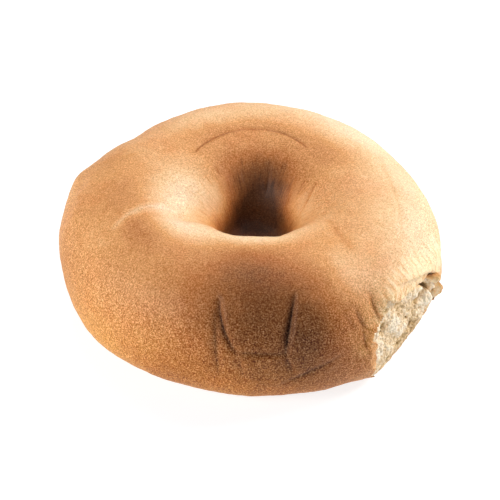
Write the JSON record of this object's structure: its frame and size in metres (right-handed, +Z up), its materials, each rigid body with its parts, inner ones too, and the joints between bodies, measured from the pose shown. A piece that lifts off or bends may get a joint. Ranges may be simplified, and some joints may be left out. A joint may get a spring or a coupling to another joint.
{
  "type": "bagel",
  "caption": "Plain ring-shaped bread roll with a funnel hole, a flat base, pinched creases on the front and a torn crumb patch on one side.",
  "frame": {"origin": "on the surface that it rests on, under the middle of the bounding box", "axes": "+Z up out of the base, along the hole; -Y towards the front with the pinched creases; the torn side faces between +X and -Y"},
  "size_m": [0.11, 0.1107, 0.0379],
  "materials": {
    "crust": "baked crust, satin",
    "crumb": "open bread crumb, matt"
  },
  "bodies": {
    "root": {"bagel": "crust"}
  },
  "joints": []
}
